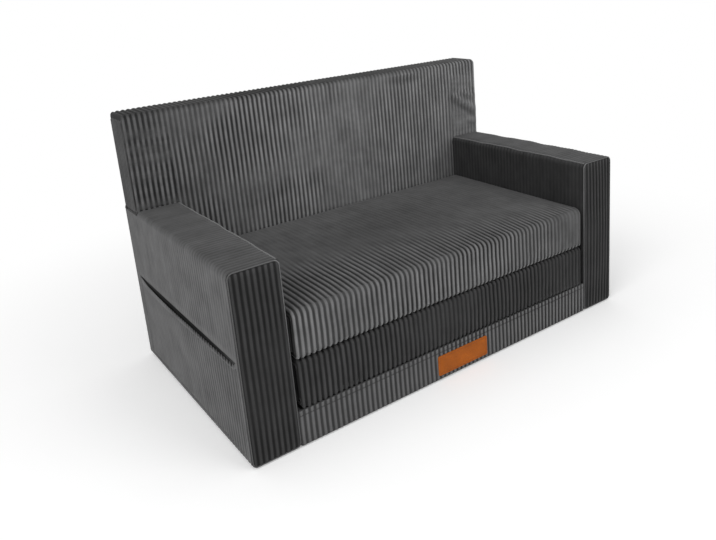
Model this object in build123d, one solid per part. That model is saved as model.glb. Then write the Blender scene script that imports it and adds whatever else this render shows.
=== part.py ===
# Children's fold-out sofa bed: foam blocks in ribbed covers. The seat is two cushions
# that are sewn together and to the sofa, and they unfold forwards into a bed.
# X runs across the sofa, Y from its front to its back, and Z up. The origin is on the
# floor, under the middle of the sofa. Lengths are in millimetres.
from build123d import *
import os
from math import cos, radians, sin, sqrt

# Frame: two arms over the full depth, a back that stands between them and spreads over
# their rear ends, and a low base
frame_width = 900.0
frame_depth = 520.0
back_height = 535.0
back_thickness = 80.0
arm_width = 90.0
arm_height = 345.0
base_height = 68.0

# Covers, and the room that a foam block has inside its cover
cover_wall = 3.0
foam_room = 0.3
floor_sheet = 2.0
floor_sheet_inset = 9.0

# Softness of the frame's covers
back_crown = 3.0
back_rear_corner = 12.0
back_top_edge = 9.0
back_bottom_edge = 4.5
arm_front_crown = 3.0
arm_top_crown = 3.0
arm_top_edge = 11.0
arm_bottom_edge = 6.0
arm_rear_edge = 4.0
base_edge = 4.0

# Seat cushions
cushion_thickness = 88.0
cushion_side_gap = 6.0
cushion_rear_gap = 8.0
cushion_draw_in = 3.0
cushion_corner = 20.0
cushion_edge = 8.0
seat_crown = 6.0
seat_top_edge = 15.0

# Cloth hinges of the seat, and the gaps that keep the folding pieces apart
hinge_cloth = 1.2
hinge_cloth_width = 24.0
hinge_cloth_inset = 10.0
rest_gap = 0.3
floor_gap = 0.3
fold_reach = 4.0

# Side pockets: an open mouth over an elastic hem, and a lining sunk into the foam
pocket_hem_height = 183.0
pocket_mouth = 9.0
pocket_bottom = 16.0
pocket_front_seam = 8.0
pocket_rear_seam = 28.0
pocket_bulge = 2.5
pocket_sink = 8.0
pocket_reach = 220.0
pocket_lining = 1.5
lining_margin = 6.0
elastic_height = 10.0
elastic_proud = 0.6

# Patch sewn to the front strip
patch_width = 125.0
patch_height = 41.0
patch_thickness = 1.5
patch_corner = 3.0
patch_centre_height = 32.0

# Zips: a slot with turned-in lips, a tape behind them, a chain and a slider
slot_height = 10.0
slot_lip = 1.5
slot_lip_depth = 3.5
tape_thickness = 1.0
tape_width = 26.0
tape_margin = 8.0
chain_width = 5.0
chain_height = 1.8
chain_round = 0.8
stop_length = 3.0
stop_height = 0.6
slider_length = 14.0
slider_side = 1.3
slider_plate = 1.2
slider_room = 0.3
loop_length = 7.0
loop_width = 2.4
loop_height = 1.6
loop_wire = 0.7
back_zip_margin = 40.0
back_zip_height = 42.0
cushion_zip_margin = 54.0

# One overrun for all cuts
cut_over = 6.0

# How finely the edge and the crown of the seat's top are stepped
edge_steps = 3
crown_shares = (0.25, 0.55, 0.85)

# A bevel this share of a rounded edge leaves the cover as thick there as elsewhere
bevel_share = 0.6

# Places that follow from the sizes above
half_width = frame_width / 2
front_y = -frame_depth / 2
rear_y = frame_depth / 2
back_face_y = rear_y - back_thickness
arm_inner_x = half_width - arm_width
arm_centre_x = half_width - arm_width / 2
wall_x = half_width - cover_wall
sleeve_start_y = front_y + cover_wall
seat_limit_y = back_face_y - back_crown
cushion_rear_y = seat_limit_y - cushion_rear_gap
seat_width = 2 * (arm_inner_x - cushion_side_gap)
seat_depth = cushion_rear_y - front_y
seat_centre_y = (cushion_rear_y + front_y) / 2
lower_bottom = base_height + hinge_cloth + rest_gap
lower_top = lower_bottom + cushion_thickness
upper_bottom = lower_top + hinge_cloth + rest_gap
upper_top = upper_bottom + cushion_thickness
foam_inset = cover_wall + foam_room
slot_depth = cover_wall + slot_lip_depth
back_zip_length = 2 * arm_inner_x - 2 * back_zip_margin
cushion_zip_length = seat_width - 2 * cushion_zip_margin
pocket_start_y = sleeve_start_y + pocket_front_seam
pocket_end_y = rear_y - pocket_rear_seam
pocket_centre_y = (pocket_start_y + pocket_end_y) / 2
pocket_top = pocket_hem_height + pocket_mouth

# Axes of the two folds. The lower cushion turns over the front axis onto the floor, and
# the upper one turns back over the rear axis, so that both end flat on the floor.
front_axis_y = front_y - fold_reach
front_axis_z = (lower_top + hinge_cloth + floor_gap) / 2
rear_axis_y = cushion_rear_y + fold_reach
rear_axis_z = front_axis_z + (upper_bottom - floor_gap) / 2

pieces = {}


def block(low, high):
    """Plain block between two corners."""
    size = [b - a for a, b in zip(low, high)]
    return Pos(*low) * Box(*size, align=(Align.MIN, Align.MIN, Align.MIN))


def bevelled_block(low, high, axis, top_edge, bottom_edge):
    """Block whose edges along one axis are bevelled to fit in a rounded cover."""
    core = block(low, high)
    edges = core.edges().filter_by(axis).group_by(Axis.Z)
    core = chamfer(edges[-1], bevel_share * top_edge)
    edges = core.edges().filter_by(axis).group_by(Axis.Z)
    return chamfer(edges[0], bevel_share * bottom_edge)


def rim(solid, axis, end):
    """Edges around the face at one end of the solid along an axis."""
    return solid.faces().sort_by(axis)[end].outer_wire().edges()


def bevelled_core(low, high, corner, top_edge, bottom_edge):
    """Block with all its edges bevelled to fit in a cover that is rounded all round."""
    core = block(low, high)
    core = chamfer(core.edges().filter_by(Axis.Z), bevel_share * corner)
    core = chamfer(rim(core, Axis.Z, -1), bevel_share * top_edge)
    return chamfer(rim(core, Axis.Z, 0), bevel_share * bottom_edge)


def mirrored(solid):
    """The same piece on the sofa's other side."""
    return mirror(solid, about=Plane.YZ)


def along_y(outline, start, end):
    """Runs a section that is drawn in X and Z from one Y to another."""
    return extrude(Pos(0, end, 0) * (Plane.XZ * outline), end - start)


# Forms of the covers, and of the room inside them


def drawn_outline(z, inset=0.0):
    """Level section of a seat cushion, with sides drawn in between the corners."""
    share = 1 - 2 * inset / seat_depth
    x = seat_width / 2 - inset
    y = seat_depth / 2 - inset
    pull = cushion_draw_in * share
    outline = make_face(
        [
            ThreePointArc((-x, -y), (0, pull - y), (x, -y)),
            ThreePointArc((x, -y), (x - pull, 0), (x, y)),
            ThreePointArc((x, y), (0, y - pull), (-x, y)),
            ThreePointArc((-x, y), (pull - x, 0), (-x, -y)),
        ]
    )
    outline = fillet(outline.vertices(), cushion_corner * share)
    return Pos(0, seat_centre_y, z) * outline


def crowned_top(top, edge, crown):
    """Top of a cushion: a rounded edge, then a crown that rises to the middle."""
    levels = []
    for step in range(edge_steps + 1):
        turn = radians(90 * step / edge_steps)
        levels.append((edge * (1 - cos(turn)), top - edge * (1 - sin(turn))))
    reach = seat_depth / 2 - edge
    for share in crown_shares:
        levels.append((edge + share * reach, top + crown * (1 - (1 - share) ** 2)))
    return loft([drawn_outline(z, inset) for inset, z in levels], ruled=True)


def cushion_form(bottom, top, edge, crown):
    """Outside of a seat cushion. With no crown, its top is flat with a rounded edge."""
    shoulder = top - edge if crown > 0 else top
    form = extrude(drawn_outline(bottom), shoulder - bottom)
    if crown > 0:
        form += crowned_top(top, edge, crown)
    else:
        form = fillet(rim(form, Axis.Z, -1), edge)
    return fillet(rim(form, Axis.Z, 0), cushion_edge)


def cushion_core(bottom, top, edge, inset):
    """Foam of a seat cushion, or the room for it."""
    x = seat_width / 2 - cushion_draw_in - inset
    front = front_y + cushion_draw_in + inset
    rear = cushion_rear_y - cushion_draw_in - inset
    low = (-x, front, bottom + inset)
    return bevelled_core(low, (x, rear, top - inset), cushion_corner, edge, cushion_edge)


def without_arms(solid, grow=0.0):
    """The back's block less the arms' room under its two ends, with some more around it."""
    low = (arm_inner_x - grow, back_face_y - cut_over, -cut_over)
    high = (half_width + cut_over, rear_y + cut_over, arm_height + grow)
    return solid - block(low, high) - mirrored(block(low, high))


def back_form():
    """Outside of the back: crowned between the arms in front, and all over behind."""
    outline = make_face(
        [
            Line((-half_width, back_face_y), (-arm_inner_x, back_face_y)),
            ThreePointArc((-arm_inner_x, back_face_y), (0, seat_limit_y), (arm_inner_x, back_face_y)),
            Line((arm_inner_x, back_face_y), (half_width, back_face_y)),
            Line((half_width, back_face_y), (half_width, rear_y)),
            ThreePointArc((half_width, rear_y), (0, rear_y + back_crown), (-half_width, rear_y)),
            Line((-half_width, rear_y), (-half_width, back_face_y)),
        ]
    )
    ends = outline.vertices().group_by(Axis.X)
    rear_corners = [ends[0].sort_by(Axis.Y)[-1], ends[-1].sort_by(Axis.Y)[-1]]
    outline = fillet(rear_corners, back_rear_corner)
    form = extrude(Pos(0, 0, floor_sheet) * outline, back_height - floor_sheet)
    form = fillet(rim(form, Axis.Z, -1), back_top_edge)
    return without_arms(fillet(rim(form, Axis.Z, 0), back_bottom_edge))


def back_core(inset):
    """Foam of the back, or the room for it."""
    x = half_width - inset
    low = (-x, back_face_y + inset, floor_sheet + inset)
    high = (x, rear_y - inset, back_height - inset)
    core = bevelled_core(low, high, back_rear_corner, back_top_edge, back_bottom_edge)
    return without_arms(core, inset)


def arm_outline():
    """Section of the arm on the positive side, seen from the front, crowned on top."""
    shoulder = arm_height - arm_top_crown
    outline = make_face(
        [
            Line((arm_inner_x, floor_sheet), (half_width, floor_sheet)),
            Line((half_width, floor_sheet), (half_width, shoulder)),
            ThreePointArc((half_width, shoulder), (arm_centre_x, arm_height), (arm_inner_x, shoulder)),
            Line((arm_inner_x, shoulder), (arm_inner_x, floor_sheet)),
        ]
    )
    outline = fillet(outline.vertices().group_by(Axis.Y)[-1], arm_top_edge)
    return fillet(outline.vertices().group_by(Axis.Y)[0], arm_bottom_edge)


def arm_core(inset, start, end):
    """Foam of an arm, or the room for it."""
    low = (arm_inner_x + inset, start, floor_sheet + inset)
    high = (half_width - inset, end, arm_height - arm_top_crown - inset)
    return bevelled_block(low, high, Axis.Y, arm_top_edge, arm_bottom_edge)


def base_outline():
    """Section of the base between the arms."""
    height = base_height - floor_sheet
    outline = Pos(0, floor_sheet + height / 2) * Rectangle(2 * arm_inner_x, height)
    return fillet(outline.vertices(), base_edge)


def base_core(inset, start, end):
    """Foam of the base, or the room for it."""
    low = (inset - arm_inner_x, start, floor_sheet + inset)
    high = (arm_inner_x - inset, end, base_height - inset)
    return bevelled_block(low, high, Axis.Y, base_edge, base_edge)


# Zips, drawn with X along the zip and Z out of the cover


def zip_slot(length):
    """The opening between the lips, through the cover."""
    low = (-length / 2, -slot_height / 2, -slot_depth)
    return block(low, (length / 2, slot_height / 2, cut_over))


def zip_lips(length):
    """Edges of the cover, turned in around the slot."""
    low = (-length / 2 - slot_lip, -slot_height / 2 - slot_lip, -slot_depth)
    high = (length / 2 + slot_lip, slot_height / 2 + slot_lip, cut_over)
    return block(low, high) - zip_slot(length)


def zip_groove(length):
    """Room in the foam for the lips and the tape."""
    x = length / 2 + tape_margin + foam_room
    y = tape_width / 2 + foam_room
    return block((-x, -y, -slot_depth - tape_thickness - foam_room), (x, y, cut_over))


def zip_tape(length):
    """Tape behind the lips, with the chain down its middle and a stop at each end."""
    x = length / 2 + tape_margin
    back = -slot_depth - tape_thickness
    tape = block((-x, -tape_width / 2, back), (x, tape_width / 2, -slot_depth))
    half = chain_width / 2
    top = chain_height - slot_depth
    chain = block((-length / 2, -half, -slot_depth), (length / 2, half, top))
    chain = fillet(chain.faces().sort_by(Axis.Z)[-1].edges().filter_by(Axis.X), chain_round)
    stop = block((-length / 2, -half, -slot_depth), (stop_length - length / 2, half, top + stop_height))
    return tape + chain + stop + mirrored(stop)


def zip_slider(length):
    """Slider over the chain at one end of the zip, with a low loop and no pull tab."""
    start = stop_length + slider_room - length / 2
    end = start + slider_length
    inner = chain_width / 2 + slider_room
    outer = inner + slider_side
    floor = slider_room - slot_depth
    roof = chain_height + slider_room - slot_depth
    top = roof + slider_plate
    body = block((start, -outer, floor), (end, outer, top)) - block((start, -inner, floor), (end, inner, roof))
    nose = body.edges().filter_by(Axis.Z).group_by(Axis.X)[0].sort_by(Axis.Y)
    body = chamfer([nose[0], nose[-1]], slider_side)
    middle = (start + end) / 2
    loop_start = middle - loop_length / 2
    loop_end = middle + loop_length / 2
    loop_top = top + loop_height
    loop = block((loop_start, -loop_width / 2, top), (loop_end, loop_width / 2, loop_top))
    hole_low = (loop_start + loop_wire, -loop_width / 2, top)
    loop -= block(hole_low, (loop_end - loop_wire, loop_width / 2, loop_top - loop_wire))
    return body + loop


def add_zip(name, length, y, z, outside, cover, foam):
    """Cuts a zip into the rear face of a cover and its foam, and adds its own pieces."""
    plane = Plane(origin=(0, y, z), x_dir=(1, 0, 0), z_dir=(0, 1, 0))
    pieces[name + "_zip_tape"] = plane * zip_tape(length)
    pieces[name + "_zip_slider"] = plane * zip_slider(length)
    pieces[name + "_cover"] = cover - plane * zip_slot(length) + ((plane * zip_lips(length)) & outside)
    pieces[name + "_foam"] = foam - plane * zip_groove(length)


# The pieces


def make_back():
    """Back block: foam, and a cover that closes with a zip low on its rear face."""
    outside = back_form()
    cover = outside - back_core(cover_wall)
    add_zip("back", back_zip_length, rear_y, back_zip_height, outside, cover, back_core(foam_inset))


def make_base():
    """Base: a foam slab in a wrapped cover, a front strip and a patch on the strip."""
    end = seat_limit_y - foam_room
    wrap = along_y(base_outline(), sleeve_start_y, end)
    pieces["base_cover"] = wrap - base_core(cover_wall, sleeve_start_y - cut_over, end + cut_over)
    pieces["base_foam"] = base_core(foam_inset, sleeve_start_y + foam_room, end)
    pieces["base_front_strip"] = along_y(base_outline(), front_y, sleeve_start_y)
    patch = Pos(0, patch_centre_height) * RectangleRounded(patch_width, patch_height, patch_corner)
    pieces["front_patch"] = along_y(patch, front_y - patch_thickness, front_y)


def make_floor_sheet():
    """Non-slip sheet under the whole frame."""
    x = half_width - floor_sheet_inset
    y = frame_depth / 2 - floor_sheet_inset
    pieces["floor_sheet"] = block((-x, -y, 0), (x, y, floor_sheet))


def arm_front_panel():
    """Front panel of an arm, crowned like part of a large ball."""
    reach = sqrt(arm_width**2 + (arm_height - floor_sheet) ** 2) / 2
    radius = (reach**2 + arm_front_crown**2) / (2 * arm_front_crown)
    panel = along_y(arm_outline(), front_y - arm_front_crown, sleeve_start_y)
    middle = (arm_height + floor_sheet) / 2
    return panel & Pos(arm_centre_x, front_y - arm_front_crown + radius, middle) * Sphere(radius)


def pocket_ball(face_x, rise, thicker=0.0):
    """Large ball whose cap stands out of a face, or sinks into it, at the hem's middle."""
    radius = (pocket_reach**2 + rise**2) / (2 * abs(rise))
    centre_x = face_x + rise - radius if rise > 0 else face_x + rise + radius
    return Pos(centre_x, pocket_centre_y, pocket_hem_height) * Sphere(radius + thicker)


def pocket_block(x_low, x_high, grow, low, high):
    """Block over the pocket's outline, grown at its front and rear, between two heights."""
    return block((x_low, pocket_start_y - grow, low), (x_high, pocket_end_y + grow, high))


def pocket_hollow(grow):
    """Where the lining sinks into the foam, up to the top of the mouth."""
    low = pocket_bottom - lining_margin
    space = pocket_block(arm_centre_x, wall_x, grow, low - grow, pocket_top + grow)
    return pocket_ball(wall_x, -pocket_sink, grow) & space


def pocket_sheet(depth, grow):
    """Flat part of the lining behind the cover, out to its margin."""
    edge = lining_margin + grow
    return pocket_block(wall_x - depth, wall_x, edge, pocket_bottom - edge, pocket_top + edge)


def pocket_cloth(low, high, proud):
    """Stretch of the pocket's outer cloth, bulged a little at the hem."""
    space = pocket_block(wall_x, half_width + cut_over, 0, low, high)
    flat = pocket_block(wall_x, half_width + proud, 0, low, high)
    outer = pocket_ball(half_width + proud, pocket_bulge) & space
    return flat + outer - (pocket_ball(wall_x, pocket_bulge) & space)


def make_arm(side, turn):
    """One arm: foam, sleeve, front panel, and the pocket in its outer side."""
    sleeve = along_y(arm_outline(), sleeve_start_y, rear_y)
    sleeve = fillet(rim(sleeve, Axis.Y, -1), arm_rear_edge)
    sleeve -= arm_core(cover_wall, sleeve_start_y - cut_over, rear_y - cover_wall)
    sleeve -= pocket_block(wall_x, half_width + cut_over, 0, pocket_bottom, pocket_top)
    lining = pocket_sheet(pocket_lining, 0) + pocket_hollow(pocket_lining) - pocket_hollow(0)
    foam = arm_core(foam_inset, sleeve_start_y + foam_room, rear_y - foam_inset)
    room = pocket_lining + foam_room
    foam = foam - pocket_sheet(room, foam_room) - pocket_hollow(room)
    hem = pocket_hem_height - elastic_height
    pieces[side + "_arm_cover"] = turn(sleeve)
    pieces[side + "_arm_front"] = turn(arm_front_panel())
    pieces[side + "_arm_foam"] = turn(foam)
    pieces[side + "_pocket_lining"] = turn(lining)
    pieces[side + "_pocket_panel"] = turn(pocket_cloth(pocket_bottom, hem, 0))
    pieces[side + "_pocket_elastic"] = turn(pocket_cloth(hem, pocket_hem_height, elastic_proud))


def make_cushion(name, bottom, top, edge, crown):
    """One seat cushion: foam, and a cover with a zip in its rear face."""
    outside = cushion_form(bottom, top, edge, crown)
    cover = outside - cushion_core(bottom, top, edge, cover_wall)
    foam = cushion_core(bottom, top, edge, foam_inset)
    face = cushion_rear_y - cushion_draw_in
    add_zip(name, cushion_zip_length, face, (bottom + top) / 2, outside, cover, foam)


def make_hinges():
    """Cloth hinges: one along the front of the base, one along the rear of the seat."""
    x = seat_width / 2 - cushion_corner
    front = front_y + hinge_cloth_inset
    rear = cushion_rear_y - hinge_cloth_inset
    low = (-x, front, base_height)
    high = (x, front + hinge_cloth_width, base_height + hinge_cloth)
    pieces["front_hinge_cloth"] = block(low, high)
    low = (-x, rear - hinge_cloth_width, lower_top)
    pieces["rear_hinge_cloth"] = block(low, (x, rear, lower_top + hinge_cloth))


make_back()
make_base()
make_floor_sheet()
make_arm("right", lambda solid: solid)
make_arm("left", mirrored)
make_cushion("lower_cushion", lower_bottom, lower_top, cushion_edge, 0)
make_cushion("seat_cushion", upper_bottom, upper_top, seat_top_edge, seat_crown)
make_hinges()

os.makedirs("parts", exist_ok=True)
for name, solid in pieces.items():
    export_step(solid, "parts/" + name + ".step")

print("front fold axis", front_axis_y, front_axis_z)
print("rear fold axis", rear_axis_y, rear_axis_z)
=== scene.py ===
# Children's fold-out sofa bed: ribbed velour covers, seams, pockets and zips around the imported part
import math

import bmesh
import bpy
import numpy as np
from mathutils import Euler, Matrix, Vector, noise


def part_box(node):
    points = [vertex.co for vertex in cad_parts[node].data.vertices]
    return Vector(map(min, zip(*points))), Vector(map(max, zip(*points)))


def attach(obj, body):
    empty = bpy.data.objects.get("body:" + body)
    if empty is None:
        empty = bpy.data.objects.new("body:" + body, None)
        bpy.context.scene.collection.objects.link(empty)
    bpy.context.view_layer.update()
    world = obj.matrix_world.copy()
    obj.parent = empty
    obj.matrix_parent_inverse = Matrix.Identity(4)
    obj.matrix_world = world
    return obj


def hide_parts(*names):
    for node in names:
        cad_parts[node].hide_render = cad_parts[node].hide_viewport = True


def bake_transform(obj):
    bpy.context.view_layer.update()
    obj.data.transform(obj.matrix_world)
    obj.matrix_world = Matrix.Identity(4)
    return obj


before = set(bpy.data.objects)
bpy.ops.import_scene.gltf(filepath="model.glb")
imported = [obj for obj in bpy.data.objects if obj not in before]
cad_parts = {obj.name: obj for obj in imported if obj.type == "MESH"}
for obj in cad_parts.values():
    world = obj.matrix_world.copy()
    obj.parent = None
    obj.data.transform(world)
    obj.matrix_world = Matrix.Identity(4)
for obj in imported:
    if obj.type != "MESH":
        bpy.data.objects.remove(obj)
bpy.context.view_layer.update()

# Ribs and pile, in metres; waves are scales across and along the wales, and a weight
MM = 0.001
wale_pitch = 10.5 * MM
wale_depth = 3.0 * MM
wale_shares = (0.0, 0.14, 0.3, 0.5, 0.7, 0.86)
wale_roundness = 1.4
sway_reach = 0.7 * MM
sway_waves = ((9, 14, 1),)
sway_start = 8
crush_waves = ((5, 7, 1), (16, 19, 0.4))
crush_edge = 0.35
crush_depth = 0.88
fold_flattening = 1.2
seed_layer = 1.7
crush_seed = 5

# Meshes and seams
row_step = 14 * MM
crowded = 0.3
fewest_rows = 4
arc_steps = 6
least_normal = 1e-12
least_swelling = 1e-6
form_step = 20 * MM
form_pressure = 4.0
form_slack = 0.01
form_frames = 20
freed_reach = 3 * form_step
foot_kept = 30 * MM
seam_sink = 1.4 * MM
seam_inset = 1.2 * MM
panel_edge = 3 * MM
panel_corner = 3 * MM
edge_ease = 0.6
lip_depth = 3 * MM
welt_radius = 1.2 * MM
welt_sides = 8
welt_stitch = 6 * MM
welt_fullness = 0.12
thread_radius = 0.35 * MM
thread_points = 6
thread_dip = 1.6
thread_proud = 0.4

# Sides of a section in the order of its points, with their ways and normals
FRONT, TOP, REAR, FOOT = range(4)
side_ways = np.array(((0, 1), (1, 0), (0, -1), (-1, 0)))
side_normals = np.array(((-1, 0), (0, 1), (1, 0), (0, -1)))

# Run and side of a block that lies across the sofa, and of one along an arm
across_sofa = ((1, 0, 0), (0, 1, 0))
along_arm = ((0, -1, 0), (1, 0, 0))


# Sections and wales


def stations(low, high, step, keep=()):
    """Evenly spaced places from low to high, with the places in keep among them."""
    places = np.linspace(low, high, max(2, int(round((high - low) / step)) + 1))
    for wanted in keep:
        ends = (places == low) | (places == high) | np.isin(places, keep)
        places = places[ends | (np.abs(places - wanted) > step * crowded)]
        places = np.append(places, wanted)
    return np.unique(places)


def wales(length):
    """Places across a panel and how high the cloth stands there: 0 in a groove, 1 on a wale."""
    count = max(1, int(round(length / wale_pitch)))
    places = [(wale + share) * length / count for wale in range(count) for share in wale_shares]
    rises = [math.sin(math.pi * share) ** wale_roundness for share in wale_shares] * count
    return np.array(places + [length]), np.array(rises + [0.0])


def hump(share):
    """0 at both ends and 1 in the middle."""
    return 4 * share * (1 - share)


def smooth(value, low, high):
    """0 below low, 1 above high, and eased between."""
    level = np.clip((value - low) / (high - low), 0, 1)
    return level ** 2 * (3 - 2 * level)


def interpolated(places, stops, values):
    """Rows of values at some stops, as rows for other places."""
    return np.array([np.interp(places, stops, column) for column in values.T]).T


def runs_along(path):
    """Distance along a path to each of its points."""
    return np.concatenate([[0], np.cumsum(np.linalg.norm(np.diff(path, axis=0), axis=1))])


def points_grid(x, y, z):
    """Points whose places along each axis are spread to one shape."""
    return np.stack(np.broadcast_arrays(x, y, z), axis=-1)


def wander(across, along, waves, seed):
    """Smooth noise over a panel, which neighbouring wales share."""
    starts = np.arange(0, len(across), len(wale_shares))
    field = 0
    for across_scale, along_scale, weight in waves:
        places = [[Vector((a * across_scale + seed, b * along_scale, seed * seed_layer)) for b in along]
                  for a in across[starts]]
        field = field + weight * np.array([[noise.noise(place) for place in row] for row in places])
    return interpolated(range(len(across)), starts, field)


def sway(across, along, seed):
    """Sideways wander of the wales."""
    return wander(across, along, sway_waves, seed) * sway_reach


def crushed(across, along, amount, seed):
    """How flat the pile is laid over a panel: 0 for upright, 1 for flattened."""
    return amount * smooth(wander(across, along, crush_waves, seed + crush_seed), -crush_edge, crush_edge)


def rounded_cut(from_edge, radius):
    """How far a corner of that radius cuts in, at a distance from the edge."""
    inside = np.maximum(radius**2 - (radius - np.minimum(from_edge, radius))**2, 0)
    return radius - np.sqrt(inside)


def closed_normals(grid):
    """Unit normals of a grid of points whose second way is closed."""
    padded = np.concatenate([grid[:, -1:], grid, grid[:, :1]], axis=1)
    normal = np.cross(np.gradient(grid, axis=0), padded[:, 2:] - padded[:, :-2])
    return normal / np.maximum(np.linalg.norm(normal, axis=2, keepdims=True), least_normal)


def rim_loop(index):
    """The points round a grid, once each."""
    return np.concatenate([index[:, 0], index[-1, 1:], index[-2::-1, -1], index[0, -2:0:-1]])


class Section:
    """Closed section with rounded corners. Sides run up, over the top, down and back."""

    def __init__(self, low, high, radii, step, keep=()):
        self.low, self.high = np.array(low), np.array(high)
        corners = np.array((low, (low[0], high[1]), high, (high[0], low[1])))
        points, normals, marks = [], [], []
        for side in range(4):
            following = (side + 1) % 4
            start, end = corners[side], corners[following]
            before, after = radii[side], radii[following]
            run, out, turned = side_ways[side], side_normals[side], side_normals[following]
            length = abs((end - start) @ run)
            wanted = [abs((np.array(k) - start) @ run) for s, k in keep if s == side]
            for d in stations(before, length - after, step, wanted):
                points.append(start + run * d)
                normals.append(out)
                marks.append((side, (d - before) / (length - before - after), 0.0))
            centre = end - (run + out) * after
            for k in range(1, arc_steps):
                angle = math.pi / 2 * k / arc_steps
                direction = out * math.cos(angle) + turned * math.sin(angle)
                points.append(centre + direction * after)
                normals.append(direction)
                marks.append((side, 1.0, k / arc_steps))
        self.points, self.normals = np.array(points), np.array(normals)
        sides, self.shares, self.turns = np.array(marks).T
        self.sides = sides.astype(int)
        self.runs = runs_along(self.points)

    def spread(self, values):
        """One value for each side, as values for the points, eased round the corners."""
        values = np.array(values, float)
        return values[self.sides] * (1 - self.turns) + values[(self.sides + 1) % 4] * self.turns

    def flat_on(self, side):
        """Whether each point lies on the flat part of a side."""
        return (self.sides == side) & (self.turns == 0)


class Shell:
    """Points and faces of one mesh, with how each point's pile stands, how flat it is, and the painted light
    and shade on it.
    """

    def __init__(self):
        self.points, self.faces, self.wales = [], [], []
        self.pile = {"wale_rise": [], "pile_lie": [], "pile_crush": []}

    def add_grid(self, grid, across, along, rise=1.0, closed=False, skip=None, flip=False,
                 lie=1.0, crush=0.0):
        first = len(self.points)
        rows, columns = grid.shape[:2]
        self.points += [tuple(p) for p in grid.reshape(-1, 3)]
        for numbers, values in zip(self.pile.values(), (rise, lie, crush)):
            numbers += np.broadcast_to(values, (rows, columns)).ravel().tolist()
        across, along = np.broadcast_arrays(np.reshape(across, (-1, 1)), np.reshape(along, (1, -1)))
        self.wales += [(a, b, 0.0) for a, b in zip(across.ravel(), along.ravel())]
        for i in range(rows - 1):
            for j in range(columns if closed else columns - 1):
                if skip is not None and skip[i, j]:
                    continue
                k = (j + 1) % columns
                face = (first + i * columns + j, first + (i + 1) * columns + j,
                        first + (i + 1) * columns + k, first + i * columns + k)
                self.faces.append(face[::-1] if flip else face)
        return first + np.arange(rows * columns).reshape(rows, columns)

    def cap(self, loop):
        """One face over a loop of points."""
        self.faces.append(tuple(int(i) for i in loop))

    def stitch(self, ring, other, middle, scale, flat_axes, flip=False):
        """Closes the gap between two loops of points that lie round the same middle."""

        def ordered(loop):
            places = np.array([self.points[i] for i in loop])[:, flat_axes]
            turn = np.arctan2(*((places - middle) / scale).T[::-1]) % (2 * math.pi)
            order = np.argsort(turn)
            return [loop[i] for i in order], turn[order]

        a, turn_a = ordered(list(ring))
        b, turn_b = ordered(list(other))
        i = j = 0
        while i < len(a) or j < len(b):
            next_a = turn_a[(i + 1) % len(a)] + 2 * math.pi * ((i + 1) // len(a))
            next_b = turn_b[(j + 1) % len(b)] + 2 * math.pi * ((j + 1) // len(b))
            if j >= len(b) or (i < len(a) and next_a <= next_b):
                face = (a[i % len(a)], a[(i + 1) % len(a)], b[j % len(b)])
                i += 1
            else:
                face = (a[i % len(a)], b[(j + 1) % len(b)], b[j % len(b)])
                j += 1
            self.faces.append(face[::-1] if flip else face)

    def build(self, name):
        mesh = bpy.data.meshes.new(name)
        mesh.from_pydata(self.points, [], self.faces)
        mesh.validate()
        for label, numbers in self.pile.items():
            made = mesh.attributes.new(label, "FLOAT", "POINT")
            made.data.foreach_set("value", np.array(numbers, np.float32))
        wale = mesh.attributes.new("wale_place", "FLOAT_VECTOR", "POINT")
        wale.data.foreach_set("vector", np.array(self.wales, np.float32).ravel())
        mesh.polygons.foreach_set("use_smooth", [True] * len(mesh.polygons))
        piece = bpy.data.objects.new(name, mesh)
        bpy.context.scene.collection.objects.link(piece)
        return piece


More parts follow.
